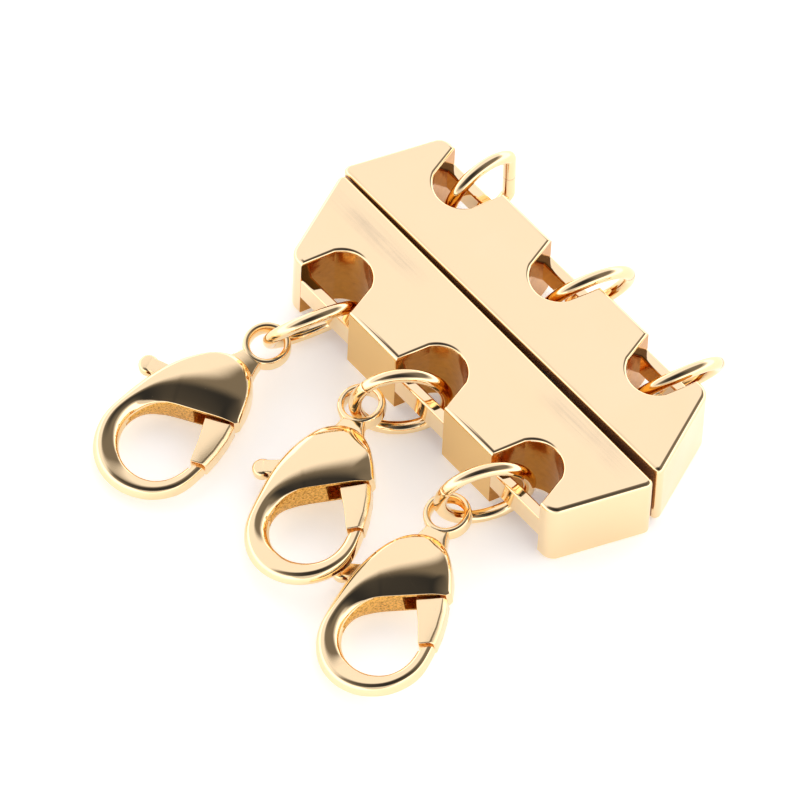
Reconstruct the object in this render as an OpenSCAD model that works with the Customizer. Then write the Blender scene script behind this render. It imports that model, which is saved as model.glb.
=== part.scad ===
// Three-strand magnetic layering clasp, closed and lying on a flat surface.
// Millimetres. X runs along the seam between the halves, Y towards the far half, Z up.
// The origin is on the surface, straight below the middle of the seam.

/* [Halves] */
// Length of each half along the seam, to the meeting points of its faces
half_len = 28.1; // [28:0.1:28.6]
// Depth of each half, from the seam to its outer face
half_depth = 6.1; // [6.05:0.05:6.2]
// Height of each half
half_height = 5.6; // [5.5:0.05:5.8]
// How far each end slants in between the seam and the outer face
end_slant = 2.4; // [1.6:0.1:2.4]
// Radius of the polished edges
edge_r = 0.35; // [0.25:0.05:0.4]
// Radius of the upright corners, seen from above
corner_r = 0.6; // [0.4:0.05:0.7]
// Gap between the two halves at the middle of the seam
seam_gap = 0.3; // [0.3:0.05:0.4]
// Turn at which the magnets let the far half sit, in degrees
far_turn = 0.8; // [0:0.1:0.8]
// How far the far half has slid along the seam
far_slip = 0.4; // [0.2:0.05:0.45]

/* [Notches] */
// Distance between two strands
strand_pitch = 8.5; // [8.45:0.05:8.6]
// Width of a notch at the outer face
notch_mouth = 4.3; // [4.25:0.05:4.4]
// Width of a notch where its round bottom starts
notch_waist = 3.2; // [3.1:0.05:3.3]
// Depth of a notch from the outer face
notch_depth = 3.1; // [3.05:0.05:3.2]
// Thickness of the bar that closes a notch
loop_bar_thick = 0.7; // [0.6:0.05:0.75]
// Height of that bar
loop_bar_height = 1.95; // [1.7:0.05:2]

/* [Magnets] */
// Diameter of a magnet
magnet_d = 3.8; // [3:0.1:3.8]
// Thickness of a magnet
magnet_thick = 1.8; // [1.2:0.1:2]

/* [Jump rings] */
// Radius of a jump ring, to the middle of its wire
ring_r = 2.7; // [2.65:0.05:2.7]
// Diameter of the ring wire
wire_d = 0.8; // [0.7:0.05:0.8]

/* [Lobster claws] */
// Half width of a claw on the side of its thumb tab
tab_side = 3.5; // [3.4:0.05:3.6]
// Half width of a claw on the side of its jaw
jaw_side = 3.45; // [3.4:0.05:3.5]
// Full thickness of a claw's head
head_thick = 3; // [2.9:0.1:3.2]
// Full thickness of a claw's hook where it leaves the head
hook_thick = 2; // [1.9:0.1:2.1]
// Radius of the hole inside the hook
hole_r = 2.45; // [2.35:0.05:2.5]
// Inner radius of the eye
eye_r = 1; // [1:0.02:1.04]
// Wall of the eye
eye_wall = 0.45; // [0.4:0.05:0.5]
// Thickness of the lever
lever_thick = 0.96; // [0.9:0.02:1]
// Radius of the rivet that the lever turns on
rivet_r = 0.4; // [0.35:0.01:0.42]

/* [Hidden] */
$fn = 48;

gold = [0.93, 0.79, 0.55];
steel = [0.62, 0.62, 0.64];

strands = [-1, 0, 1];
sides = ["left", "right"];
outer_len = half_len - 2 * end_slant;
notch_end_r = 1.78;
near_slip = 0.1;

magnet_gap = 0.05;
magnet_x = strand_pitch / 2;

// One row for each near ring: centre, turn of its plane from X, lean of its top
near_rings = [
    [[-8.42, -7.38, 2.92], 73, 22],
    [[-0.95, -6.9, 3.12], 53, -3],
    [[6.9, -7.24, 3.12], 63.5, 2],
];

// The far rings in the same columns; the first one has been bent flat at its outer end
far_rings = [
    [[-8.78, 6.37, 3.12], 88, -2],
    [[0.42, 6.42, 3.04], 73, 14],
    [[8.35, 6.47, 2.93], 75, 21],
];
bent_cut = 48;
bend_swell = 1.06;

// One row for each claw: middle of its eye, turn, slope down from the eye, roll with its
// lever side up. The middle claw's hook lies on the thumb tab of the right one.
claws = [
    [[-9.38, -10, 2.06], 3.1, 5, 0],
    [[-2.6, -8.5, 2.16], 27.7, 0.3, 9.5],
    [[6.3, -9.56, 2.25], 22.2, 4.2, 8],
];

// A claw is drawn flat: eye at the origin, hook towards -Y, lever on the +X side
belly_y = -9.3;
head_reach = 7.46;
hook_reach = 3.54;
hole_c = [0.35, -9];
head_line = [-6.425, 0.5];
line_end = 90 + atan(head_line[1]);
tip_angle = 2;
tip_start = 300;
tip_narrow = 0.2;
tip_skew = 9;
head_angle = 300;
spoke_count = 34;
section_steps = 6;

side_edge = 0.8;
neck_edge = 0.5;
dome_power = 1.9;
brow_width = 2.4;
brow_drop = 0.88;
tip_at = [2.95, -4.9];
tip_reach = 1.3;
tip_fall = 0.35;
hook_thin = 0.6;

slot_half = 0.7;
slot_wall = 0.6;
rivet_at = [0.7, -4.4];
rivet_fit = 0.02;
lever_fit = 0.06;
rivet_roof = 0.3;
hub_r = 1;
tab_at = [-4, -5.8];
tab_r = 0.62;
tab_thick = 0.8;
arm_width = 1.1;
jaw_thick = 1.3;

// Halves. Each is drawn with its seam face on y = 0 and its outer face towards +Y.

// Unit vector from one point to another
function towards(a, b) = (b - a) / norm(b - a);

// A convex outline with its corners rounded, drawn from flats and whole circles
module rounded_outline(points, r) {
    n = len(points);
    corners = [for (i = [0:n - 1])
        let(
            back = towards(points[i], points[(i + n - 1) % n]),
            ahead = towards(points[i], points[(i + 1) % n]),
            half_turn = acos(back * ahead) / 2,
            flat = r / tan(half_turn),
            middle = points[i] + (back + ahead) / norm(back + ahead) * r / sin(half_turn)
        ) [points[i] + back * flat, points[i] + ahead * flat, middle]
    ];
    polygon([for (c = corners) each [c[0], c[1]]]);
    for (c = corners) translate(c[2]) circle(r);
}

module half_plan() {
    rounded_outline([
        [-half_len / 2, 0],
        [half_len / 2, 0],
        [outer_len / 2, half_depth],
        [-outer_len / 2, half_depth],
    ], corner_r);
}

// A rectangle with round corners, its lower edge on y = 0
module rounded_section(width, height, r) {
    translate([r, 0]) square([width - 2 * r, height]);
    translate([0, r]) square([width, height - 2 * r]);
    for (x = [r, width - r], y = [r, height - r]) translate([x, y]) circle(r);
}

// The block whose seam and outer edges are rounded
module edge_block() {
    rotate([90, 0, 90])
        linear_extrude(half_len, center = true)
            rounded_section(half_depth, half_height, edge_r);
}

// The block whose two slanted ends are rounded; side is -1 or 1
module end_block(side) {
    slant = atan2(end_slant, half_depth);
    reach = half_len * 1.2;
    translate([side * half_len / 2, 0, 0])
        rotate([0, 0, side * slant])
            translate([side > 0 ? -reach : 0, 0, 0])
                rotate([90, 0, 0])
                    linear_extrude(2 * reach, center = true)
                        rounded_section(reach, half_height, edge_r);
}

module notch_plan() {
    middle_y = half_depth - notch_depth + notch_end_r;
    waist_y = middle_y - sqrt(pow(notch_end_r, 2) - pow(notch_waist / 2, 2));
    mouth_slope = (notch_mouth - notch_waist) / 2 / (half_depth - waist_y);
    mouth_x = notch_mouth / 2 + mouth_slope;
    translate([0, middle_y]) circle(notch_end_r);
    polygon([
        [-notch_waist / 2, waist_y],
        [notch_waist / 2, waist_y],
        [mouth_x, half_depth + 1],
        [-mouth_x, half_depth + 1],
    ]);
}

module half_body() {
    difference() {
        intersection() {
            linear_extrude(half_height) half_plan();
            edge_block();
            end_block(-1);
            end_block(1);
        }
        for (s = strands) translate([s * strand_pitch, 0, -1])
            linear_extrude(half_height + 2) notch_plan();
    }
}

module loop_bar() {
    translate([0, half_depth - loop_bar_thick, (half_height - loop_bar_height) / 2])
        rotate([90, 0, 90])
            linear_extrude(notch_mouth + 0.4, center = true)
                rounded_section(loop_bar_thick, loop_bar_height, loop_bar_thick / 4);
}

module magnet_seat(side) {
    translate([side * magnet_x, 0, half_height / 2]) rotate([-90, 0, 0]) children();
}

module half() {
    color(gold) difference() {
        union() {
            half_body();
            for (s = strands) translate([s * strand_pitch, 0, 0]) loop_bar();
        }
        for (side = [-1, 1]) magnet_seat(side)
            translate([0, 0, -1]) cylinder(h = 1 + magnet_thick + 2 * magnet_gap, d = magnet_d + 2 * magnet_gap);
    }
}

module magnet(side) {
    color(steel) magnet_seat(side) translate([0, 0, magnet_gap]) cylinder(h = magnet_thick, d = magnet_d);
}

module near_place() {
    translate([-near_slip, -seam_gap / 2, 0]) rotate([0, 0, 180]) children();
}

module far_place() {
    translate([-far_slip, seam_gap / 2, 0]) rotate([0, 0, far_turn]) children();
}

// Jump rings. A ring's plane holds its own X and Z, and lean tips its top sideways.

module ring_place(row) {
    translate(row[0]) rotate([0, 0, row[1]]) rotate([row[2], 0, 0]) rotate([90, 0, 0]) children();
}

module round_ring() {
    color(gold) rotate_extrude() translate([ring_r, 0]) circle(d = wire_d, $fn = 24);
}

// The same ring with its outer end pressed straight
module bent_ring() {
    flat_x = ring_r * cos(bent_cut);
    flat_y = ring_r * sin(bent_cut);
    color(gold) {
        difference() {
            rotate_extrude() translate([ring_r, 0]) circle(d = wire_d, $fn = 24);
            linear_extrude(2 * wire_d, center = true)
                polygon([[0, 0], [2 * flat_x, -2 * flat_y], [2 * flat_x, 2 * flat_y]]);
        }
        translate([flat_x, -flat_y, 0]) rotate([-90, 0, 0]) cylinder(h = 2 * flat_y, d = wire_d, $fn = 24);
        for (s = [-1, 1]) translate([flat_x, s * flat_y, 0]) sphere(d = wire_d * bend_swell, $fn = 24);
    }
}

// Lobster claws

module claw_place(row) {
    translate(row[0]) rotate([0, 0, row[1]]) rotate([row[2], 0, 0]) rotate([0, -row[3], 0]) children();
}

// Distance from the hole's centre to the claw's outline in one direction
function outline_reach(a) =
    let(
        reach = sin(a) > -0.08 ? head_reach : hook_reach,
        wide = cos(a) > 0 ? jaw_side : tab_side,
        ox = hole_c[0] / wide,
        oy = (hole_c[1] - belly_y) / reach,
        dx = cos(a) / wide,
        dy = sin(a) / reach,
        qa = dx * dx + dy * dy,
        qb = ox * dx + oy * dy,
        qc = ox * ox + oy * oy - 1
    ) (sqrt(qb * qb - qa * qc) - qb) / qa;

// Distance from the hole's centre to the slanted lower edge of the head
function head_line_reach(a) =
    let(fall = sin(a) - head_line[1] * cos(a))
    (head_line[0] + head_line[1] * hole_c[0] - hole_c[1]) / max(fall, 0.05);

// A smooth step from 0 to 1 between two values
function smooth(low, high, v) =
    let(t = min(1, max(0, (v - low) / (high - low))))
    t * t * (3 - 2 * t);

// How far a direction lies in the head: 1 there, 0 in the hook, smooth between
function head_share(a) = 1 - smooth(118, 195, a);

// How far a direction lies in the last stretch of the hook, 0 to 1
function tip_share(a) = max(0, (a - tip_start) / (360 + tip_angle - tip_start));

// The lower edge of the head is straight until it meets the hole, which narrows at the hook's tip
function inner_reach(a) =
    a < line_end ? max(head_line_reach(a), hole_r) : hole_r - tip_narrow * smooth(0, 1, tip_share(a));

// Half thickness of the head at a share s of the way from the inner edge to the outline:
// a dome that falls to its outline, its lower edge, the neck and the tip beside the jaw
function head_half(a, s) =
    let(
        width = outline_reach(a) - inner_reach(a),
        r = inner_reach(a) + s * width,
        spot = hole_c + r * [cos(a), sin(a)],
        full = pow(spot[0] / (spot[0] > 0 ? jaw_side : tab_side), 2) + pow((spot[1] - belly_y) / head_reach, 2),
        dome = sqrt(max(0, 1 - pow(full, dome_power))),
        inward = s * width * max(0.5, cos(a - line_end)),
        brow = pow(1 - min(1, inward / brow_width), 2),
        neck = smooth(0, 1, 1 - abs(a - 91) / 20) * pow(s, 3),
        side = side_edge - neck * (side_edge - neck_edge),
        tip = pow(max(0, 1 - norm(spot - tip_at) / tip_reach), 1.5)
    ) side + (head_thick / 2 - side) * dome * (1 - brow_drop * brow) - tip_fall * tip;

// Half thickness of the hook, which thins from the head to its tip
function hook_half(a) = hook_thick / 2 * (1 - (1 - hook_thin) * smooth(160, 250, a));

// Directions run from the head's right end over the eye side, left, down and round to the tip
function spoke_angle(i) =
    let(first = 360 - head_angle, last = 360 + tip_angle)
    first + (last - first) * i / (spoke_count - 1);

// The head's section has upright edges; the hook's is round, and its end slants like the jaw's
function section_point(a, k, side) =
    let(
        head = head_share(a),
        flat = k / section_steps,
        turn = 18 + 144 * flat,
        s = head * flat + (1 - head) * (1 - cos(turn) / cos(18)) / 2,
        lift = head * head_half(a, flat) + (1 - head) * hook_half(a) * sin(turn),
        way = a + tip_skew * tip_share(a) * s,
        r = inner_reach(a) + s * (outline_reach(way) - inner_reach(a))
    ) [hole_c[0] + r * cos(way), hole_c[1] + r * sin(way), side * lift];

function section(a) = concat(
    [for (k = [0:section_steps]) section_point(a, k, 1)],
    [for (k = [section_steps:-1:0]) section_point(a, k, -1)]
);

module claw_shell() {
    n = 2 * (section_steps + 1);
    points = [for (i = [0:spoke_count - 1]) each section(spoke_angle(i))];
    walls = [for (i = [0:spoke_count - 2], k = [0:n - 1])
        each [
            [i * n + k, (i + 1) * n + k, i * n + (k + 1) % n],
            [i * n + (k + 1) % n, (i + 1) * n + k, (i + 1) * n + (k + 1) % n],
        ]];
    start = [for (k = [0:n - 1]) k];
    end = [for (k = [n - 1:-1:0]) (spoke_count - 1) * n + k];
    polyhedron(points, concat(walls, [start, end]));
}

// Outline of the claw, drawn smaller by an even wall
module claw_outline(wall) {
    polygon([for (i = [0:47])
        let(
            a = 360 * i / 48,
            reach = sin(a) > 0 ? head_reach : hook_reach,
            wide = cos(a) > 0 ? jaw_side : tab_side
        ) [(wide - wall) * cos(a), belly_y + (reach - wall) * sin(a)]
    ]);
}

// The slot that the lever swings in, open to the hole and to the left side
module lever_slot() {
    floor_y = -7;
    roof_y = -3.1;
    claw_width = 2 * tab_side;
    translate([0, 0, -slot_half]) linear_extrude(2 * slot_half) {
        difference() {
            claw_outline(slot_wall);
            translate([-claw_width, roof_y]) square([2 * claw_width, claw_width]);
            translate([-claw_width, floor_y - 2 * claw_width]) square([claw_width - 1.2, 2 * claw_width]);
            translate([-claw_width, hole_c[1] - 2 * claw_width]) square([2 * claw_width, 2 * claw_width]);
        }
        translate([-claw_width, floor_y]) square([claw_width - 0.5, roof_y - floor_y]);
    }
}

module eye() {
    eye_half = neck_edge;
    round_r = eye_wall / 2;
    rotate_extrude() {
        translate([eye_r, -eye_half + round_r]) square([eye_wall, 2 * (eye_half - round_r)]);
        for (s = [-1, 1]) translate([eye_r + round_r, s * (eye_half - round_r)]) circle(round_r, $fn = 12);
    }
}

module neck() {
    translate([0, 0, -neck_edge]) linear_extrude(2 * neck_edge)
        polygon([[-0.7, -1.15], [0.7, -1.15], [1.25, -2.6], [-1.25, -2.6]]);
}

module claw_body() {
    color(gold) {
        eye();
        neck();
        difference() {
            claw_shell();
            lever_slot();
            translate([rivet_at[0], rivet_at[1], -head_thick])
                cylinder(h = head_thick * 1.5 - rivet_roof, r = rivet_r + rivet_fit);
        }
    }
}

// The jaw stands clear of the head's lower edge; the tongue below it lies in the slot
module jaw_plan() {
    polygon([[1.08, -6.05], [2.72, -5.2], [3.05, -6.1], [3.3, -7.2], [3.41, -8.2], [2.52, -8.66], [1.84, -7.3]]);
}

module tongue_plan() {
    polygon([[1.1, -5.2], [1.85, -4.9], [2.2, -5.5], [2.5, -6.6], [2, -7.1], [1.35, -6.05], [0.3, -5.3]]);
}

module arm_plan() {
    run = tab_at - rivet_at;
    long = norm(run);
    translate(rivet_at) rotate([0, 0, atan2(run[1], run[0])]) translate([0, -arm_width / 2]) square([long, arm_width]);
}

module claw_lever() {
    color(gold) difference() {
        union() {
            translate([0, 0, -lever_thick / 2]) linear_extrude(lever_thick) {
                tongue_plan();
                arm_plan();
                translate(rivet_at) circle(hub_r);
            }
            translate([0, 0, -jaw_thick / 2]) linear_extrude(jaw_thick) jaw_plan();
            translate([tab_at[0], tab_at[1], -tab_thick / 2]) cylinder(h = tab_thick, r = tab_r);
        }
        translate([rivet_at[0], rivet_at[1], -head_thick]) cylinder(h = 2 * head_thick, r = rivet_r + lever_fit);
    }
}

module claw_rivet() {
    bottom = -head_thick / 2 + 0.12;
    top = head_thick / 2 - rivet_roof - 0.05;
    color(gold) translate([rivet_at[0], rivet_at[1], bottom]) cylinder(h = top - bottom, r = rivet_r);
}

near_place() half();  // near_bar
far_place() half();  // far_bar
for (i = [0:1]) {
    near_place() magnet(1 - 2 * i);
    far_place() magnet(2 * i - 1);
}
for (i = [0:2]) {
    ring_place(near_rings[i]) round_ring();
    claw_place(claws[i]) claw_body();
    claw_place(claws[i]) claw_lever();
    claw_place(claws[i]) claw_rivet();
}
ring_place(far_rings[0]) bent_ring();  // far_ring_1
for (i = [1:2]) ring_place(far_rings[i]) round_ring();
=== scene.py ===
import bpy, bmesh, math
from mathutils import Matrix, Vector


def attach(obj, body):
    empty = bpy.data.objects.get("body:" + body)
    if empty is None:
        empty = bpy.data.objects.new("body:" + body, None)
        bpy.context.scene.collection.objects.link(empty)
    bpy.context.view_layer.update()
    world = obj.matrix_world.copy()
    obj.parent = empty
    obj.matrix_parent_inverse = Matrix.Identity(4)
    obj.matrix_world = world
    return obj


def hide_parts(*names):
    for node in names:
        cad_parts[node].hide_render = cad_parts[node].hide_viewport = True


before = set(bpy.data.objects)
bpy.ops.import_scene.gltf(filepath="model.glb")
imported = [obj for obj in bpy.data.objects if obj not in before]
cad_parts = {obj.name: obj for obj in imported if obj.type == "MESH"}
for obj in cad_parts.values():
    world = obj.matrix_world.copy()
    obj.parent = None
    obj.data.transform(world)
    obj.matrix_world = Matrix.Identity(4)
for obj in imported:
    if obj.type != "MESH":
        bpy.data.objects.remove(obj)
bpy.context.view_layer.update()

mm = 0.001
scene = bpy.context.scene
print("frame loaded:", len(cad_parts), "nodes")

# Camera: the photograph was taken from high up, with a long lens.
# originX and originY are the pixel at which the frame's origin shows.

view = {"azimuth": 46.48, "elevation": 58.75, "roll": 3.0, "distance": 818.5,
        "pixelsPerMm": 16.955, "photoWidth": 800, "sensor": 36.0,
        "originX": 498.57, "originY": 375.38}


def cameraAxes():
    a, e, r = (math.radians(view[k]) for k in ("azimuth", "elevation", "roll"))
    right = Vector((math.cos(a), math.sin(a), 0))
    back = Vector((math.sin(a) * math.cos(e), -math.cos(a) * math.cos(e), math.sin(e)))
    up = back.cross(right)
    return right * math.cos(r) + up * math.sin(r), up * math.cos(r) - right * math.sin(r), back


def makeCamera():
    right, up, back = cameraAxes()
    half = view["photoWidth"] / 2
    place = (back * view["distance"] - right * (view["originX"] - half) / view["pixelsPerMm"]
             + up * (view["originY"] - half) / view["pixelsPerMm"]) * mm
    data = bpy.data.cameras.new("photoCamera")
    data.sensor_width = view["sensor"]
    data.lens = view["sensor"] * view["pixelsPerMm"] * view["distance"] / view["photoWidth"]
    data.clip_start, data.clip_end = 0.05, 20
    camera = bpy.data.objects.new("photoCamera", data)
    scene.collection.objects.link(camera)
    turn = Matrix((right, up, back)).transposed().to_4x4()
    camera.matrix_world = Matrix.Translation(place) @ turn
    scene.camera = camera
    print("camera made, lens", round(data.lens))


# Shader maths: a socket that adds Math nodes when it is added, multiplied and so on

class Signal:
    def __init__(self, tree, socket):
        self.tree, self.socket = tree, socket

    def combine(self, operation, first, second, clamp=False):
        node = self.tree.nodes.new("ShaderNodeMath")
        node.operation, node.use_clamp = operation, clamp
        for i, value in enumerate((first, second)):
            if isinstance(value, Signal):
                self.tree.links.new(value.socket, node.inputs[i])
            else:
                node.inputs[i].default_value = value
        return Signal(self.tree, node.outputs[0])

    def __add__(self, other): return self.combine("ADD", self, other)
    def __radd__(self, other): return self.combine("ADD", other, self)
    def __sub__(self, other): return self.combine("SUBTRACT", self, other)
    def __rsub__(self, other): return self.combine("SUBTRACT", other, self)
    def __mul__(self, other): return self.combine("MULTIPLY", self, other)
    def __rmul__(self, other): return self.combine("MULTIPLY", other, self)
    def __truediv__(self, other): return self.combine("DIVIDE", self, other)
    def __rtruediv__(self, other): return self.combine("DIVIDE", other, self)
    def limited(self): return self.combine("ADD", self, 0.0, clamp=True)


class Recipe:
    def __init__(self, tree):
        self.tree = tree
        tree.nodes.clear()

    def node(self, kind, settings=None, out=0, **sockets):
        # a socket goes by its name, with _ for a space, or by i and its number
        made = self.tree.nodes.new(kind)
        for name, value in (settings or {}).items():
            setattr(made, name, value)
        for name, value in sockets.items():
            key = int(name[1:]) if name[0] == "i" and name[1:].isdigit() else name.replace("_", " ")
            if isinstance(value, Signal):
                self.tree.links.new(value.socket, made.inputs[key])
            else:
                made.inputs[key].default_value = value
        return Signal(self.tree, made.outputs[out]) if made.outputs else None

    def blend(self, factor, first, second):
        return self.node("ShaderNodeMix", {"data_type": "RGBA"}, out=2, Factor=factor, i6=first, i7=second)

    def part(self, vector, axis):
        return self.node("ShaderNodeSeparateXYZ", out=axis, Vector=vector)


def startMaterial(name):
    material = bpy.data.materials.new(name)
    material.use_nodes = True
    return material, Recipe(material.node_tree)


# Gold plating. The colour is what it shows in white light, but the side, seam, notch and hollow copies carry
# painted shade and reflection in their colour. Sizes and heights are in millimetres.

goldBase = {"colour": (0.95, 0.74, 0.44, 1), "warmer": (0.93, 0.69, 0.38, 1), "metallic": 1.0,
            "roughness": 0.07, "smudge": 0.1, "hairline": 0.08, "speckle": 0.1,
            "smudgeSize": 3.2, "grainSize": 0.09, "waveSize": 2.4,
            "grainHeight": 0.0004, "waveHeight": 0.0025, "scratchHeight": 0.00048, "mottle": 0.0}
barGold = dict(goldBase, colour=(0.95, 0.745, 0.46, 1), roughness=0.045, grainHeight=0.0002,
               waveSize=5.5, waveHeight=0.1)
# painted shade: a darker, more saturated gold for the near bar's outer faces, for the shaded table they
# reflect
paintedShadeSideGold = dict(barGold, colour=(0.86, 0.56, 0.2, 1), warmer=(0.8, 0.5, 0.16, 1), waveHeight=0.01)
# painted shade and reflection: the seam faces between the halves are a dull brown for the dim light bounced
# about in the gap
paintedShadeSeamGold = dict(goldBase, colour=(0.42, 0.2, 0.08, 1), warmer=(0.26, 0.09, 0.03, 1), roughness=0.4,
                metallic=0.35)
# painted shade: the notch walls are a dark amber gold for the shade and gold-on-gold reflection in the
# recesses
paintedShadeNotchGold = dict(goldBase, colour=(0.62, 0.28, 0.04, 1), warmer=(0.42, 0.15, 0.015, 1), roughness=0.14,
                  mottle=1.0, grainSize=0.4, grainHeight=0.0048, waveSize=0.9, waveHeight=0.0175)
ringGold = dict(goldBase, roughness=0.06, grainHeight=0.00032, waveSize=0.9)
clawGold = dict(goldBase, roughness=0.06, grainHeight=0.00064, waveSize=1.4, waveHeight=0.003)
leverGold = dict(goldBase, roughness=0.22, grainHeight=0.0012, smudge=0.14)
rivetGold = dict(goldBase, roughness=0.16, grainHeight=0.0008)
# painted reflection and shade: a saturated amber for the gold-on-gold reflections inside the claw's hollow;
# the roughness and bumps are the rough casting
castPaintedAmberGold = dict(goldBase, colour=(0.88, 0.5, 0.12, 1), warmer=(0.38, 0.15, 0.02, 1), roughness=0.26,
                mottle=3.5, grainSize=0.14, grainHeight=0.032, waveSize=0.8, waveHeight=0.02)
streaksPerMetre = (260, 5200, 5200)

# Two places on the near bar's top that are rubbed dull
nearWear = [{"x": 8.6, "halfLength": 4.2, "y": -1.0, "halfWidth": 0.9, "dullness": 0.16},
            {"x": -9.3, "halfLength": 4.6, "y": -1.6, "halfWidth": 0.8, "dullness": 0.24}]
wearColour = (0.78, 0.62, 0.4, 1)


def makeGold(name, plan, sag=(0, 0), wear=()):
    material, r = startMaterial(name)
    place = r.node("ShaderNodeTexCoord", out=3)
    inMm = r.node("ShaderNodeMapping", Vector=place, Scale=(1000, 1000, 1000))
    streakSpace = r.node("ShaderNodeMapping", Vector=place, Scale=streaksPerMetre)
    cloud = r.node("ShaderNodeTexNoise", Vector=inMm, Scale=1 / plan["smudgeSize"], Detail=4.0,
                   Roughness=0.55)
    patch = r.node("ShaderNodeTexNoise", Vector=inMm, Scale=0.55 / plan["smudgeSize"], Detail=2.0,
                   Distortion=0.6)
    grain = r.node("ShaderNodeTexNoise", Vector=inMm, Scale=1 / plan["grainSize"], Detail=3.0, Roughness=0.6)
    wave = r.node("ShaderNodeTexNoise", Vector=inMm, Scale=1 / plan["waveSize"], Detail=1.0)
    streak = r.node("ShaderNodeTexNoise", Vector=streakSpace, Scale=1.0, Detail=2.0, Roughness=0.5)
    smudge = ((cloud - 0.52) * 5).limited() * ((patch - 0.45) * 4).limited()
    hairline = ((streak - 0.66) * 9).limited()
    pit = ((grain - 0.68) * 8).limited()
    warmth = (patch * 0.5 + pit * 0.5 + (grain - 0.5) * plan["mottle"]).limited()
    colour = r.blend(warmth, plan["colour"], plan["warmer"])
    roughness = (plan["roughness"] + smudge * plan["smudge"] + hairline * plan["hairline"]
                 + pit * plan["speckle"])
    height = grain * plan["grainHeight"] + wave * plan["waveHeight"] - hairline * plan["scratchHeight"]
    if any(sag):                              # a casting that sags to one side
        height = height - r.part(inMm, 0) * sag[0] - r.part(inMm, 1) * sag[1]
    for spot in wear:                         # streaky and dull, strongest in the middle
        along = (r.part(inMm, 0) - spot["x"]) / spot["halfLength"]
        across = (r.part(inMm, 1) - spot["y"]) / spot["halfWidth"]
        band = (1.0 - along * along).limited() * (1.0 - across * across).limited()
        rub = band * ((cloud * 0.5 + streak * 0.5 - 0.34) * 3).limited()
        roughness = roughness + rub * spot["dullness"]
        colour = r.blend(rub, colour, wearColour)
    bump = r.node("ShaderNodeBump", Strength=1.0, Distance=mm, Height=height)
    shader = r.node("ShaderNodeBsdfPrincipled", Base_Color=colour, Metallic=plan["metallic"],
                    Roughness=roughness.limited(), Normal=bump)
    r.node("ShaderNodeOutputMaterial", Surface=shader)
    return material


nickel = {"colour": (0.62, 0.61, 0.59, 1), "darker": (0.45, 0.44, 0.42, 1), "roughness": 0.22, "smudge": 0.2,
          "cloudsPerMm": 1.2, "grainsPerMm": 16.0, "grainHeight": 0.006}


def makeNickel(name):
    material, r = startMaterial(name)
    inMm = r.node("ShaderNodeMapping", Vector=r.node("ShaderNodeTexCoord", out=3), Scale=(1000, 1000, 1000))
    cloud = r.node("ShaderNodeTexNoise", Vector=inMm, Scale=nickel["cloudsPerMm"], Detail=4.0)
    grain = r.node("ShaderNodeTexNoise", Vector=inMm, Scale=nickel["grainsPerMm"], Detail=2.0)
    colour = r.blend((cloud * 1.2 - 0.2).limited(), nickel["colour"], nickel["darker"])
    bump = r.node("ShaderNodeBump", Strength=0.5, Distance=mm, Height=grain * nickel["grainHeight"])
    shader = r.node("ShaderNodeBsdfPrincipled", Base_Color=colour, Metallic=1.0,
                    Roughness=nickel["roughness"] + cloud * nickel["smudge"], Normal=bump)
    r.node("ShaderNodeOutputMaterial", Surface=shader)
    return material


# Building helpers. Pieces are drawn in millimetres and made metres at the end.

def finishPiece(name, bm, materials, body, node, place, weighted=False):
    bm.transform(place)
    bm.transform(Matrix.Scale(mm, 4))
    mesh = bpy.data.meshes.new(name)
    bm.to_mesh(mesh)
    bm.free()
    for face in mesh.polygons:
        face.use_smooth = True
    mesh.set_sharp_from_angle(angle=math.radians(32))
    piece = bpy.data.objects.new(name, mesh)
    scene.collection.objects.link(piece)
    for material in materials:
        mesh.materials.append(material)
    if weighted:
        even = piece.modifiers.new("evenNormals", "WEIGHTED_NORMAL")
        even.keep_sharp, even.weight = True, 100
    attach(piece, body)
    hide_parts(node)


def addTo(bm, other):
    spare = bpy.data.meshes.new("spare")
    other.to_mesh(spare)
    other.free()
    bm.from_mesh(spare)
    bpy.data.meshes.remove(spare)


def cutAway(bm, cutters):
    # one Boolean step; the cutters don't touch each other
    tool = bmesh.new()
    for cutter in cutters:
        addTo(tool, cutter)
    objects = []
    for source in (bm, tool):
        made = bpy.data.objects.new("cutting", bpy.data.meshes.new("cutting"))
        source.to_mesh(made.data)
        source.free()
        scene.collection.objects.link(made)
        objects.append(made)
    step = objects[0].modifiers.new("cut", "BOOLEAN")
    step.operation, step.solver, step.object = "DIFFERENCE", "MANIFOLD", objects[1]
    bpy.context.view_layer.update()
    result = bmesh.new()
    result.from_object(objects[0], bpy.context.evaluated_depsgraph_get())
    for made in objects:
        data = made.data
        bpy.data.objects.remove(made)
        bpy.data.meshes.remove(data)
    return result


def roundEdges(bm, edges, offset, segments=4):
    bmesh.ops.bevel(bm, geom=list(edges), offset=offset, offset_type="OFFSET", segments=segments, profile=0.5,
                    affect="EDGES", clamp_overlap=True, material=-1)


def levelEdges(bm):
    return [e for e in bm.edges if abs(e.verts[0].co.z - e.verts[1].co.z) < 0.01]


def outlineSlab(points, low, high):
    bm = bmesh.new()
    face = bm.faces.new([bm.verts.new((x, y, low)) for x, y in points])
    made = bmesh.ops.extrude_face_region(bm, geom=[face])
    for v in [g for g in made["geom"] if isinstance(g, bmesh.types.BMVert)]:
        v.co.z = high
    bmesh.ops.recalc_face_normals(bm, faces=bm.faces[:])
    return bm


def disc(radius, low, high, x=0.0, y=0.0, segments=64):
    bm = bmesh.new()
    bmesh.ops.create_cone(bm, cap_ends=True, segments=segments, radius1=radius, radius2=radius,
                          depth=high - low)
    bmesh.ops.translate(bm, verts=bm.verts[:], vec=(x, y, (low + high) / 2))
    return bm


def progress(value, start, end):
    # how far a value has come from start to end, held between 0 and 1
    return min(1, max(0, (value - start) / (end - start)))


def eased(value, start, end):
    t = progress(value, start, end)
    return t * t * (3 - 2 * t)


# Bars, drawn with the seam face at y = 0 and the outer face towards +Y

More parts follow.
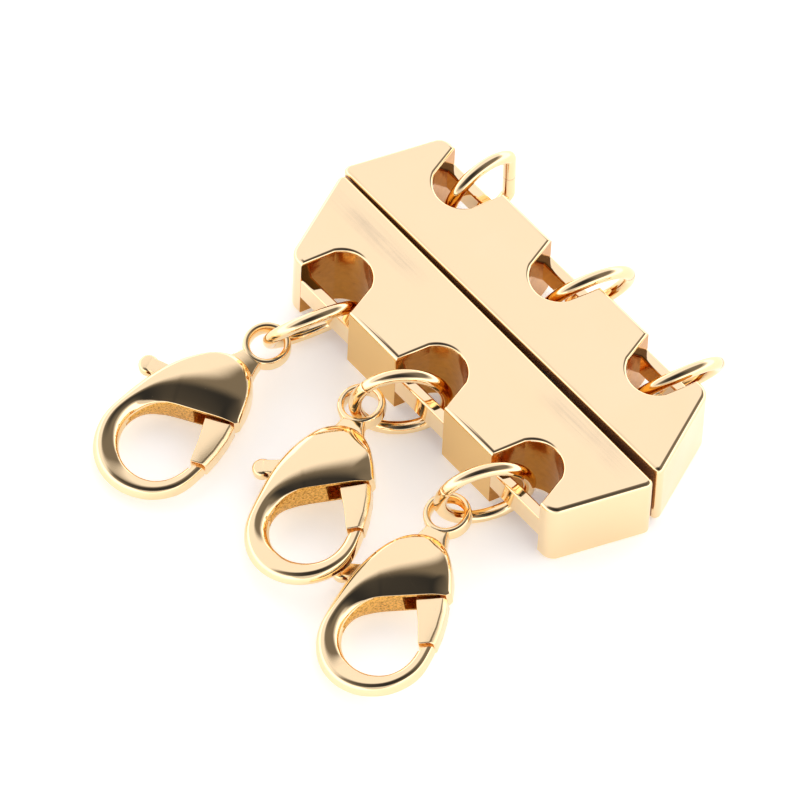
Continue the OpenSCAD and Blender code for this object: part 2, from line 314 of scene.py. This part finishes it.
bar = {"length": 28.1, "depth": 6.1, "height": 5.6, "slant": 2.4, "cornerRadius": 0.6, "edgeRadius": 0.38,
       "pitch": 8.5, "mouth": 4.3, "waist": 3.2, "notchDepth": 3.1, "notchRadius": 1.78, "notchSteps": 32,
       "rimRadius": 0.22, "rimSteps": 6, "loopThick": 0.7, "loopHeight": 1.95, "loopRoot": 0.4,
       "loopRound": 0.154, "loopSunk": 0.01, "magnetX": 4.25, "pocketRadius": 1.95, "pocketDepth": 1.9,
       "postEnd": 10.5}
barPlaces = {
    "near": Matrix.Translation((-0.1, -0.15, 0)) @ Matrix.Rotation(math.pi, 4, "Z"),
    "far": Matrix.Translation((-0.4, 0.15, 0)) @ Matrix.Rotation(math.radians(0.8), 4, "Z"),
}
strands = [s * bar["pitch"] for s in (-1, 0, 1)]


def notchSpot(step, flare):
    # the notch's outline: a straight mouth on each side and a round bottom, grown by the flare
    steps = bar["notchSteps"]
    middleY = bar["depth"] - bar["notchDepth"] + bar["notchRadius"]
    halfWaist = bar["waist"] / 2
    rise = math.acos(halfWaist / bar["notchRadius"])
    if 0 < step < steps + 2:
        angle = -math.pi + rise + (math.pi - 2 * rise) * (step - 1) / steps
        reach = bar["notchRadius"] + flare
        return reach * math.cos(angle), middleY + reach * math.sin(angle)
    waistY = middleY - bar["notchRadius"] * math.sin(rise)
    slope = (bar["mouth"] / 2 - halfWaist) / (bar["depth"] - waistY)
    x = bar["mouth"] / 2 + slope + flare
    return (x if step else -x), bar["depth"] + 1


def notchCutter(x):
    rim, top, across = bar["rimRadius"], bar["height"], bar["notchSteps"] + 2
    rounding = [math.pi / 2 * i / bar["rimSteps"] for i in range(bar["rimSteps"] + 1)]
    low = [(-1, rim)] + [(rim * (1 - math.cos(a)), rim * (1 - math.sin(a))) for a in rounding]
    rows = low + [(top - z, flare) for z, flare in reversed(low)]
    bm = bmesh.new()
    bmesh.ops.create_grid(bm, x_segments=across, y_segments=len(rows) - 1, size=1)
    for v in bm.verts:
        z, flare = rows[round((v.co.y + 1) / 2 * (len(rows) - 1))]
        px, py = notchSpot(round((v.co.x + 1) / 2 * across), flare)
        v.co = (px + x, py, z)
    for height in (-1, top + 1):              # close the bottom, the top and the mouth
        chain = [e for e in bm.edges if e.is_boundary and all(abs(v.co.z - height) < 1e-4 for v in e.verts)]
        ends = [v for v in {v for e in chain for v in e.verts} if sum(e in chain for e in v.link_edges) == 1]
        bmesh.ops.contextual_create(bm, geom=chain + [bm.edges.new(ends)])
    bmesh.ops.holes_fill(bm, edges=[e for e in bm.edges if e.is_boundary], sides=0)
    bmesh.ops.recalc_face_normals(bm, faces=bm.faces[:])
    return bm


def pocketCutter(x):
    pocket = disc(bar["pocketRadius"], -1, bar["pocketDepth"])
    pocket.transform(Matrix.Translation((x, 0, bar["height"] / 2))
                     @ Matrix.Rotation(math.radians(-90), 4, "X"))
    return pocket


def loopBar(x):
    loop = bmesh.new()
    bmesh.ops.create_cube(loop, size=1)
    size = (bar["mouth"] + bar["loopRoot"], bar["loopThick"], bar["loopHeight"])
    bmesh.ops.scale(loop, verts=loop.verts[:], vec=size)
    long = [e for e in loop.edges if abs(e.verts[0].co.x - e.verts[1].co.x) > 1]
    roundEdges(loop, long, bar["loopRound"], 4)
    y = bar["depth"] - bar["loopThick"] / 2 - bar["loopSunk"]
    bmesh.ops.translate(loop, verts=loop.verts[:], vec=(x, y, bar["height"] / 2))
    return loop


def barSlot(face):
    # 0 the plain plating, 1 a notch's wall in painted shade, 2 the seam face in painted shade, 3 the outer
    # faces between the notches, in painted shade on the near bar
    middle = face.calc_center_median()
    inNotch = middle.y > bar["depth"] - bar["notchDepth"] - 0.05 and any(
        abs(middle.x - x) < bar["mouth"] / 2 + 0.1 for x in strands)
    if inNotch and abs(face.normal.z) < 0.1 and middle.y < bar["depth"] - 0.05:
        return 1
    if middle.y < 0.01:
        return 2
    onOuter = face.normal.y > 0.98 and middle.y > bar["depth"] - 0.02 and abs(middle.x) < bar["postEnd"]
    return 3 if onOuter else 0


def barMesh():
    halfSeam, halfOuter = bar["length"] / 2, bar["length"] / 2 - bar["slant"]
    bm = outlineSlab([(-halfSeam, 0), (halfSeam, 0), (halfOuter, bar["depth"]), (-halfOuter, bar["depth"])],
                     0, bar["height"])
    upright = [e for e in bm.edges if abs(e.verts[0].co.z - e.verts[1].co.z) > 1]
    roundEdges(bm, upright, bar["cornerRadius"], 8)
    roundEdges(bm, levelEdges(bm), bar["edgeRadius"], 6)
    cutters = [notchCutter(x) for x in strands] + [pocketCutter(s * bar["magnetX"]) for s in (-1, 1)]
    bm = cutAway(bm, cutters)
    bmesh.ops.remove_doubles(bm, verts=bm.verts[:], dist=0.002)
    for face in bm.faces:
        face.material_index = barSlot(face)
    for x in strands:
        addTo(bm, loopBar(x))
    return bm


# Jump rings: round wire, closed to a hairline cut. One ring is bent flat at its outer end.

ring = {"radius": 2.7, "wire": 0.4, "wireSides": 24, "steps": 110, "cut": 0.9, "cutRound": 0.03,
        "bend": 48, "bentSteps": 84, "bendRadius": 0.42, "bendSteps": 6, "halfCut": 0.012}
ringPlaces = {
    "near_ring_1": {"centre": (-8.42, -7.38, 2.92), "turn": 73, "lean": 22, "cutAt": 200},
    "near_ring_2": {"centre": (-0.95, -6.9, 3.12), "turn": 53, "lean": -3, "cutAt": 140},
    "near_ring_3": {"centre": (6.9, -7.24, 3.12), "turn": 63.5, "lean": 2, "cutAt": 150},
    "far_ring_2": {"centre": (0.42, 6.42, 3.04), "turn": 73, "lean": 14, "cutAt": 20},
    "far_ring_3": {"centre": (8.35, 6.47, 2.93), "turn": 75, "lean": 21, "cutAt": 30},
    "far_ring_1": {"centre": (-8.78, 6.37, 3.12), "turn": 88, "lean": -2, "cutAt": None},
}


def ringPlace(row):
    return (Matrix.Translation(row["centre"]) @ Matrix.Rotation(math.radians(row["turn"]), 4, "Z")
            @ Matrix.Rotation(math.radians(row["lean"]), 4, "X") @ Matrix.Rotation(math.radians(90), 4, "X"))


def wireArc(bm, start, angle, steps):
    # a round wire swept about the ring's axis
    outward, up = Vector((math.cos(start), math.sin(start), 0)), Vector((0, 0, 1))
    made = bmesh.ops.create_circle(bm, cap_ends=False, segments=ring["wireSides"], radius=ring["wire"])
    turn = Matrix((outward, up, outward.cross(up))).transposed().to_4x4()
    bmesh.ops.transform(bm, matrix=Matrix.Translation(outward * ring["radius"]) @ turn, verts=made["verts"])
    edges = list({e for v in made["verts"] for e in v.link_edges})
    bmesh.ops.spin(bm, geom=edges, cent=(0, 0, 0), axis=(0, 0, 1), angle=angle, steps=steps,
                   use_duplicate=False)


def closeEnds(bm):
    bmesh.ops.holes_fill(bm, edges=[e for e in bm.edges if e.is_boundary], sides=ring["wireSides"] + 1)
    bmesh.ops.recalc_face_normals(bm, faces=bm.faces[:])


def ringMesh(cutAt):
    bm = bmesh.new()
    wireArc(bm, math.radians(cutAt + ring["cut"] / 2), math.radians(360 - ring["cut"]), ring["steps"])
    closeEnds(bm)
    roundEdges(bm, [e for e in bm.edges if any(len(f.verts) > 4 for f in e.link_faces)], ring["cutRound"], 2)
    return bm


def bentRingMesh():
    bm = bmesh.new()
    bend = math.radians(ring["bend"])
    wireArc(bm, bend, 2 * math.pi - 2 * bend, ring["bentSteps"])
    for side in (-1, 1):                      # a tight bend, then half of the straight piece
        rim = [e for e in bm.edges if e.is_boundary and e.verts[0].co.y * side > 0.2]
        outward = Vector((math.cos(bend), math.sin(bend) * side, 0))
        made = bmesh.ops.spin(bm, geom=rim, cent=outward * (ring["radius"] - ring["bendRadius"]),
                              axis=(0, 0, -side), angle=bend, steps=ring["bendSteps"], use_duplicate=False)
        last = [g for g in made["geom_last"] if isinstance(g, bmesh.types.BMEdge)]
        pushed = bmesh.ops.extrude_edge_only(bm, edges=last)
        for v in [g for g in pushed["geom"] if isinstance(g, bmesh.types.BMVert)]:
            v.co.y = ring["halfCut"] * side
    closeEnds(bm)
    return bm


# Lobster claws, drawn flat with the eye at the origin and the hook towards -Y.
# Angles are in degrees round the hole, from the jaw's side through the head to the hook's tip.

claw = {"bellyY": -9.3, "headReach": 7.46, "hookReach": 3.54, "tabSide": 3.5, "jawSide": 3.45,
        "holeX": 0.35, "holeY": -9.0, "holeRadius": 2.45, "lineY": -6.425, "lineSlope": 0.5, "lineEnd": 116.6,
        "headThick": 3.0, "sideEdge": 0.8, "domePower": 1.9, "browWidth": 2.4, "browDrop": 0.88,
        "neckEdge": 0.5, "neckAngle": 91, "neckSpread": 20, "headEnd": 118, "hookStart": 195,
        "hookRoot": 1.0, "hookTip": 0.6, "thinStart": 160, "thinEnd": 250,
        "hookFlat": 0.6, "hookRidge": 0.6, "hookSteep": 0.5, "flatStart": 200, "flatEnd": 240,
        "flatTipStart": 290, "flatTipEnd": 330,
        "shoulderX": 2.95, "shoulderY": -4.9, "shoulderReach": 1.3, "shoulderFall": 0.35,
        "firstAngle": 60, "lastAngle": 362, "tipStart": 300, "tipNarrow": 0.2, "tipSkew": 9,
        "spokes": 150, "around": 40, "wallEnd": 0.08, "roundEnd": 0.2,
        "edgeRound": 0.24, "headEdgeRound": 0.06, "bendRound": 0.45, "bendStart": 140, "bendEnd": 165,
        "slotHalf": 0.7, "slotWall": 0.6, "slotRoof": -3.1, "slotFloor": -7.0, "slotLeft": 0.3, "wall": 0.35,
        "pivotX": 0.7, "pivotY": -4.4, "rivetRadius": 0.42,
        "eyeRadius": 1.0, "eyeWall": 0.45, "eyeSides": 28, "eyeSteps": 72, "neckRound": 0.22,
        "neck": [(-0.72, -1.18), (0.72, -1.18), (0.85, -1.7), (1.3, -2.75), (-1.3, -2.75), (-0.85, -1.7)]}
clawPlaces = [{"eye": (-9.38, -10, 2.06), "turn": 3.1, "slope": 5, "roll": 0, "sag": (0.09, -0.05)},
              {"eye": (-2.6, -8.5, 2.16), "turn": 27.7, "slope": 0.3, "roll": 9.5, "sag": (0.01, -0.01)},
              {"eye": (6.3, -9.56, 2.25), "turn": 22.2, "slope": 4.2, "roll": 8, "sag": (0.09, -0.05)}]


def clawPlace(row):
    return (Matrix.Translation(row["eye"]) @ Matrix.Rotation(math.radians(row["turn"]), 4, "Z")
            @ Matrix.Rotation(math.radians(row["slope"]), 4, "X")
            @ Matrix.Rotation(math.radians(-row["roll"]), 4, "Y"))


def outlineReach(angle):
    # from the hole's centre to the claw's outline, which is four quarters of ellipses
    c, s = math.cos(angle), math.sin(angle)
    reach = claw["headReach"] if s > -0.08 else claw["hookReach"]
    wide = claw["jawSide"] if c > 0 else claw["tabSide"]
    ox, oy = claw["holeX"] / wide, (claw["holeY"] - claw["bellyY"]) / reach
    dx, dy = c / wide, s / reach
    qa, qb, qc = dx * dx + dy * dy, ox * dx + oy * dy, ox * ox + oy * oy - 1
    return (math.sqrt(qb * qb - qa * qc) - qb) / qa


def innerReach(degrees):
    # the hole is round, and the head's lower edge is a line that meets it
    angle = math.radians(degrees)
    fall = math.sin(angle) - claw["lineSlope"] * math.cos(angle)
    line = (claw["lineY"] + claw["lineSlope"] * claw["holeX"] - claw["holeY"]) / max(fall, 0.05)
    if degrees < claw["lineEnd"]:
        return max(line, claw["holeRadius"])
    return claw["holeRadius"] - claw["tipNarrow"] * eased(degrees, claw["tipStart"], claw["lastAngle"])


def halfThick(degrees, share):
    angle = math.radians(degrees)
    inner = innerReach(degrees)
    width = outlineReach(angle) - inner
    reach = inner + share * width
    x, y = claw["holeX"] + reach * math.cos(angle), claw["holeY"] + reach * math.sin(angle)
    # the head is a dome that falls to its outline and to its straight lower edge
    wide = claw["jawSide"] if x > 0 else claw["tabSide"]
    fullness = (x / wide) ** 2 + ((y - claw["bellyY"]) / claw["headReach"]) ** 2
    dome = math.sqrt(max(0, 1 - fullness ** claw["domePower"]))
    inward = share * width * max(0.5, math.cos(math.radians(degrees - claw["lineEnd"])))
    brow = (1 - min(1, inward / claw["browWidth"])) ** 2
    nearNeck = min(1, abs(degrees - claw["neckAngle"]) / claw["neckSpread"])
    neck = (0.5 + 0.5 * math.cos(math.pi * nearNeck)) * share ** 3
    side = claw["sideEdge"] - neck * (claw["sideEdge"] - claw["neckEdge"])
    shoulder = max(0, 1 - math.hypot(x - claw["shoulderX"], y - claw["shoulderY"]) / claw["shoulderReach"])
    full = (claw["headThick"] / 2 - side) * dome * (1 - claw["browDrop"] * brow)
    return side + full - claw["shoulderFall"] * shoulder ** 1.5


def hookHalf(degrees):
    # the hook is a round bar that thins from the head to its tip
    thin = eased(degrees, claw["thinStart"], claw["thinEnd"])
    return claw["hookRoot"] + thin * (claw["hookTip"] - claw["hookRoot"])


def sectionSpot(u, degrees, width):
    # u runs 0 to 1 over the upper half, from the inner wall's middle to the outer wall's
    if u > 0.5:
        share, lift = sectionHalf(1 - u, degrees, width, True)
        share = 1 - share
    else:
        share, lift = sectionHalf(u, degrees, width, False)
    mix = eased(degrees, claw["hookStart"], claw["headEnd"])
    # past the head the hook is round outside and flatter on top towards the hole
    toTip = progress(degrees, claw["flatTipStart"], claw["flatTipEnd"])
    outerFlat = toTip * claw["hookFlat"] - (1 - toTip) * claw["hookSteep"]
    flat = claw["hookFlat"] if u < 0.5 else outerFlat
    flatter = progress(degrees, claw["flatStart"], claw["flatEnd"]) * flat
    roundShare = ((1 - math.cos(math.pi * u)) / 2) ** (math.log(claw["hookRidge"]) / math.log(0.5))
    roundLift = hookHalf(degrees) * max(0, math.sin(math.pi * u)) ** (1 - flatter)
    return roundShare + mix * (share - roundShare), roundLift + mix * (lift - roundLift)


def sectionHalf(u, degrees, width, outer):
    # up the wall, round its edge and over the top to the middle
    bend = progress(degrees, claw["bendStart"], claw["bendEnd"])
    inner = claw["headEdgeRound"] + bend * (claw["bendRound"] - claw["headEdgeRound"])
    edge = min(claw["edgeRound"] if outer else inner, 0.4 * width)
    wallEnd, roundEnd = claw["wallEnd"], claw["roundEnd"]

    def thick(depth):
        return halfThick(degrees, 1 - depth / width if outer else depth / width)

    if u < wallEnd:
        return 0.0, (thick(0) - edge) * u / wallEnd
    if u < roundEnd:
        turn = (u - wallEnd) / (roundEnd - wallEnd) * math.pi / 2
        depth = edge * (1 - math.cos(turn))
        return depth / width, thick(depth) - edge + edge * math.sin(turn)
    depth = edge + (width / 2 - edge) * (u - roundEnd) / (0.5 - roundEnd)
    return depth / width, thick(depth)


def clawShell():
    bm = bmesh.new()
    bmesh.ops.create_grid(bm, x_segments=claw["spokes"], y_segments=claw["around"], size=1)
    for v in bm.verts:
        degrees = claw["firstAngle"] + (v.co.x + 1) / 2 * (claw["lastAngle"] - claw["firstAngle"])
        u = v.co.y + 1                        # once round the section, from the inner wall
        inner = innerReach(degrees)
        width = outlineReach(math.radians(degrees)) - inner
        share, lift = sectionSpot(u if u < 1 else 2 - u, degrees, width)
        # the hook reaches further on its outer side, so its end is slanted like the jaw's
        toTip = progress(degrees, claw["tipStart"], claw["lastAngle"])
        angle = math.radians(degrees + claw["tipSkew"] * toTip * share)
        reach = inner + share * (outlineReach(angle) - inner)
        v.co = (claw["holeX"] + reach * math.cos(angle), claw["holeY"] + reach * math.sin(angle),
                lift if u < 1 else -lift)
    bmesh.ops.remove_doubles(bm, verts=bm.verts[:], dist=0.0005)
    bmesh.ops.holes_fill(bm, edges=[e for e in bm.edges if e.is_boundary], sides=0)
    bmesh.ops.recalc_face_normals(bm, faces=bm.faces[:])
    return bm


def clawOutline(wall):
    points = []
    for i in range(96):
        a = math.tau * i / 96
        reach = claw["headReach"] if math.sin(a) > 0 else claw["hookReach"]
        wide = claw["jawSide"] if math.cos(a) > 0 else claw["tabSide"]
        points.append(((wide - wall) * math.cos(a), claw["bellyY"] + (reach - wall) * math.sin(a)))
    return points


def slotMesh():
    # inside the outline, with a way out on the left for the thumb tab
    half, wide, left = claw["slotHalf"], 2 * claw["tabSide"], claw["slotLeft"]
    roof, floor, low = claw["slotRoof"], claw["slotFloor"], claw["holeY"]
    side = [p for p in clawOutline(claw["slotWall"]) if low < p[1] < roof and p[0] > 0]
    side.sort(key=lambda p: p[1])
    wallTop = claw["lineY"] + claw["lineSlope"] * left + claw["wall"]
    wallFoot = (floor - claw["wall"] - claw["lineY"]) / claw["lineSlope"]
    head = [(side[-1][0] - 0.05, roof), (-wide, roof), (-wide, floor), (wallFoot, floor), (left, wallTop)]
    return outlineSlab([(left, low), (side[0][0], low)] + side + head, -half, half)


def clawSlot(face):
    # 1 is the rough casting, coloured as painted amber reflection and shade: the slot inside the head and the
    # wall round the hole
    middle = face.calc_center_median()
    dx, dy = middle.x - claw["holeX"], middle.y - claw["holeY"]
    degrees, reach = math.degrees(math.atan2(dy, dx)) % 360, math.hypot(dx, dy)
    inHead = degrees < 200 and abs(middle.z) < claw["slotHalf"] + 0.01
    facesIn = middle.z * face.normal.z < -0.3
    slotSide = abs(face.normal.z) < 0.05 and reach < outlineReach(math.radians(degrees)) - 0.3
    onWall = 60 < degrees < 190 and reach < innerReach(degrees) + 0.06 and abs(face.normal.z) < 0.5
    return 1 if onWall or inHead and (facesIn or slotSide) else 0


def eyeMesh():
    # a ring with a rounded square section
    bm = bmesh.new()
    wall = claw["eyeWall"]
    made = bmesh.ops.create_circle(bm, cap_ends=False, segments=claw["eyeSides"], radius=1)
    for v in made["verts"]:
        x, y = v.co.x, v.co.y
        squash = (abs(x) ** 3 + abs(y) ** 3) ** (1 / 3)
        v.co = (claw["eyeRadius"] + wall / 2 + x / squash * wall / 2, 0, y / squash * claw["neckEdge"])
    bmesh.ops.spin(bm, geom=bm.edges[:] + bm.verts[:], cent=(0, 0, 0), axis=(0, 0, 1), angle=math.tau,
                   steps=claw["eyeSteps"], use_merge=True, use_duplicate=False)
    bmesh.ops.recalc_face_normals(bm, faces=bm.faces[:])
    return bm


def clawBodyMesh():
    bore = disc(claw["rivetRadius"], -3, 1.2, claw["pivotX"], claw["pivotY"], 40)
    bm = cutAway(clawShell(), [slotMesh(), bore])
    for face in bm.faces:
        face.material_index = clawSlot(face)
    addTo(bm, eyeMesh())
    neck = outlineSlab(claw["neck"], -claw["neckEdge"], claw["neckEdge"])
    roundEdges(neck, levelEdges(neck), claw["neckRound"], 5)
    addTo(bm, neck)
    return bm


# The levers, in the same place as the claw they turn in

lever = {"plateHalf": 0.48, "jawHalf": 0.65, "slant": 0.26, "edge": 0.07,
         "jaw": [(1.08, -6.05), (2.72, -5.2), (3.05, -6.1), (3.3, -7.2), (3.41, -8.2), (2.52, -8.66),
                 (1.84, -7.3)],
         "tongue": [(1.1, -5.2), (1.85, -4.9), (2.2, -5.5), (2.5, -6.6), (2.0, -7.1), (1.35, -6.05),
                    (0.3, -5.3)],
         "boreRadius": 0.46, "hubRadius": 1.0, "armWidth": 1.1, "armEnd": 0.84, "armSunk": 0.06,
         "armRound": 0.14, "tabX": -4.0, "tabY": -5.8, "tabRadius": 0.62, "tabHalf": 0.4, "tabRound": 0.26}


def addBored(bm, piece):
    # add a piece of the lever after boring it for the rivet
    addTo(bm, cutAway(piece, [disc(lever["boreRadius"], -3, 3, claw["pivotX"], claw["pivotY"], 40)]))


def armMesh():
    dx, dy = lever["tabX"] - claw["pivotX"], lever["tabY"] - claw["pivotY"]
    length, turn = math.hypot(dx, dy), math.atan2(dy, dx)
    root, end = lever["armWidth"] / 2, lever["armWidth"] / 2 * lever["armEnd"]
    half = lever["plateHalf"] - lever["armSunk"]
    arm = outlineSlab([(0, -root), (length, -end), (length, end), (0, root)], -half, half)
    roundEdges(arm, levelEdges(arm), lever["armRound"], 4)
    arm.transform(Matrix.Translation((claw["pivotX"], claw["pivotY"], 0)) @ Matrix.Rotation(turn, 4, "Z"))
    return arm


def leverMesh():
    plate, jaw, tab = lever["plateHalf"], lever["jawHalf"], lever["tabHalf"]
    bm = outlineSlab(lever["jaw"], -jaw, jaw)
    outer = [e for e in bm.edges
             if all(v.co.x > 2.7 and v.co.z > 0 for v in e.verts) and e.calc_length() > 0.7]
    roundEdges(bm, outer, lever["slant"], 1)
    roundEdges(bm, [e for e in bm.edges if e.calc_face_angle(0) > 0.3], lever["edge"], 4)
    addTo(bm, outlineSlab(lever["tongue"], -plate, plate))
    addBored(bm, armMesh())
    addBored(bm, disc(lever["hubRadius"], -plate, plate, claw["pivotX"], claw["pivotY"], 48))
    thumb = disc(lever["tabRadius"], -tab, tab, lever["tabX"], lever["tabY"], 40)
    roundEdges(thumb, levelEdges(thumb), lever["tabRound"], 6)
    addTo(bm, thumb)
    return bm


# Light: a white tent round a white table, with a dim opening and a dark column on the camera's side,
# both above the low angles, and a bright band near the table. Starts and ends are heights or cosines.

light = {"sky": (1.12, 1.1, 1.2, 1), "dim": (0.213, 0.195, 0.186, 1), "dark": (0.032, 0.034, 0.042, 1),
         "low": (2.0, 2.0, 2.0, 1), "openingRight": 0.8, "openingFront": 1.0,
         "dimStart": -0.44, "dimEnd": -0.12, "dimBelow": 0.3, "highStart": 0.42, "highEnd": 0.62,
         "darkStart": -0.08, "darkEnd": 0.2, "darkNarrow": 2.5,
         "lowTop": 0.14, "lowBottom": 0.02, "lowRise": 0.3, "lowSpread": 5.0,
         "fill": 1.7, "fillColour": (1.0, 1.0, 1.0), "fillSpread": 100, "fillHeight": 48}


def makeLight():
    world = bpy.data.worlds.new("studio")
    scene.world = world
    world.use_nodes = True
    r = Recipe(world.node_tree)
    right, up, back = cameraAxes()
    front = Vector((back.x, back.y, 0)).normalized()
    opening = front * light["openingFront"] + right * light["openingRight"]
    direction = r.node("ShaderNodeTexCoord", out=0)

    def along(axis):
        return r.node("ShaderNodeVectorMath", {"operation": "DOT_PRODUCT"}, out=1, i0=direction,
                      i1=tuple(axis))

    def step(value, start, end, first=0.0, last=1.0):
        return r.node("ShaderNodeMapRange", {"interpolation_type": "SMOOTHSTEP"}, Value=value,
                      From_Min=light[start], From_Max=light[end], To_Min=first, To_Max=last)

    sideways = along(right) * along(right)
    high = step(along((0, 0, 1)), "highStart", "highEnd")
    dimness = high * (1 - light["dimBelow"]) + light["dimBelow"]
    tent = r.blend(step(along(opening), "dimStart", "dimEnd") * dimness, light["sky"], light["dim"])
    column = step(along(front), "darkStart", "darkEnd") * (1.0 - sideways * light["darkNarrow"]).limited()
    tent = r.blend(column * high, tent, light["dark"])
    height = along((0, 0, 1)) - (sideways * light["lowSpread"]).limited() * light["lowRise"]
    tent = r.blend(step(height, "lowBottom", "lowTop", 1.0, 0.0), tent, light["low"])
    r.node("ShaderNodeOutputWorld", Surface=r.node("ShaderNodeBackground", Color=tent, Strength=1.0))

    lamp = bpy.data.lights.new("fill", "SUN")
    lamp.energy, lamp.color = light["fill"], light["fillColour"]
    lamp.angle = math.radians(light["fillSpread"])
    fill = bpy.data.objects.new("fill", lamp)
    fill.visible_glossy = False               # it brightens the table, and the gold shows the tent alone
    level, lift = Vector((right.x, right.y, 0)).normalized(), math.radians(light["fillHeight"])
    source = level * math.cos(lift) + Vector((0, 0, math.sin(lift)))
    fill.matrix_world = source.to_track_quat("Z", "Y").to_matrix().to_4x4()
    scene.collection.objects.link(fill)
    print("light made")


table = {"colour": (0.95, 0.95, 0.94, 1), "roughness": 0.9, "glow": 0.3, "glowColour": (1.0, 0.985, 0.97, 1),
         "halfSize": 3}


def makeFloor():
    bm = bmesh.new()
    bmesh.ops.create_grid(bm, x_segments=1, y_segments=1, size=table["halfSize"])
    mesh = bpy.data.meshes.new("tableTop")
    bm.to_mesh(mesh)
    bm.free()
    floor = bpy.data.objects.new("tableTop", mesh)
    scene.collection.objects.link(floor)
    material, r = startMaterial("whiteTable")
    shader = r.node("ShaderNodeBsdfPrincipled", Base_Color=table["colour"], Roughness=table["roughness"],
                    Emission_Color=table["glowColour"], Emission_Strength=table["glow"])
    r.node("ShaderNodeOutputMaterial", Surface=shader)
    mesh.materials.append(material)


# Making

makeCamera()
makeLight()
makeFloor()
scene.view_settings.view_transform = "Standard"
scene.view_settings.look = "None"
scene.cycles.glossy_bounces = 12

barMaterial = makeGold("barPlating", barGold)
rubbedMaterial = makeGold("rubbedPlating", barGold, wear=nearWear)
# painted shade copies of the bar plating: the seam faces and the near bar's outer faces
paintedShadeSeamMaterial = makeGold("seamPaintedShade", paintedShadeSeamGold)
paintedShadeSideMaterial = makeGold("sidePaintedShade", paintedShadeSideGold)
ringMaterial = makeGold("ringPlating", ringGold)
leverMaterial = makeGold("leverPlating", leverGold, sag=(0.01, -0.01))
rivetMaterial = makeGold("rivetPlating", rivetGold)
# painted shade for the notch walls, painted amber reflection and shade inside the claws' hollows
paintedShadeNotchMaterial = makeGold("notchPaintedShade", paintedShadeNotchGold)
castPaintedAmberMaterial = makeGold("roughCastingPaintedAmber", castPaintedAmberGold)
magnetMaterial = makeNickel("magnetNickel")

# the near bar's outer faces get painted shade, the far bar's keep the plain plating; notch walls and seam
# faces get painted shade on both
for half, top, outer in (("near", rubbedMaterial, paintedShadeSideMaterial), ("far", barMaterial, barMaterial)):
    finishPiece(half + "BarPiece", barMesh(), [top, paintedShadeNotchMaterial, paintedShadeSeamMaterial, outer], half + "_half",
                half + "_bar", barPlaces[half], weighted=True)
print("bars made")

for name, row in ringPlaces.items():
    bm = bentRingMesh() if row["cutAt"] is None else ringMesh(row["cutAt"])
    finishPiece(name + "_wire", bm, [ringMaterial], name.split("_")[0] + "_half", name, ringPlace(row))
print("rings made")

for i, row in enumerate(clawPlaces, 1):
    clawMaterial = makeGold("clawPlating%d" % i, clawGold, sag=row["sag"])
    # slot 1 of the shell is painted amber reflection and shade inside the hollow
    finishPiece("claw_%d_shell" % i, clawBodyMesh(), [clawMaterial, castPaintedAmberMaterial], "near_half",
                "claw_body_%d" % i, clawPlace(row))
    finishPiece("claw_%d_jaw" % i, leverMesh(), [leverMaterial], "lever_%d" % i, "claw_lever_%d" % i,
                clawPlace(row))
print("claws made")

for name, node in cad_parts.items():
    if "magnet" in name or "rivet" in name:
        material = magnetMaterial if "magnet" in name else rivetMaterial
        if not node.material_slots:
            node.data.materials.append(material)
        for spot in node.material_slots:
            spot.material = material
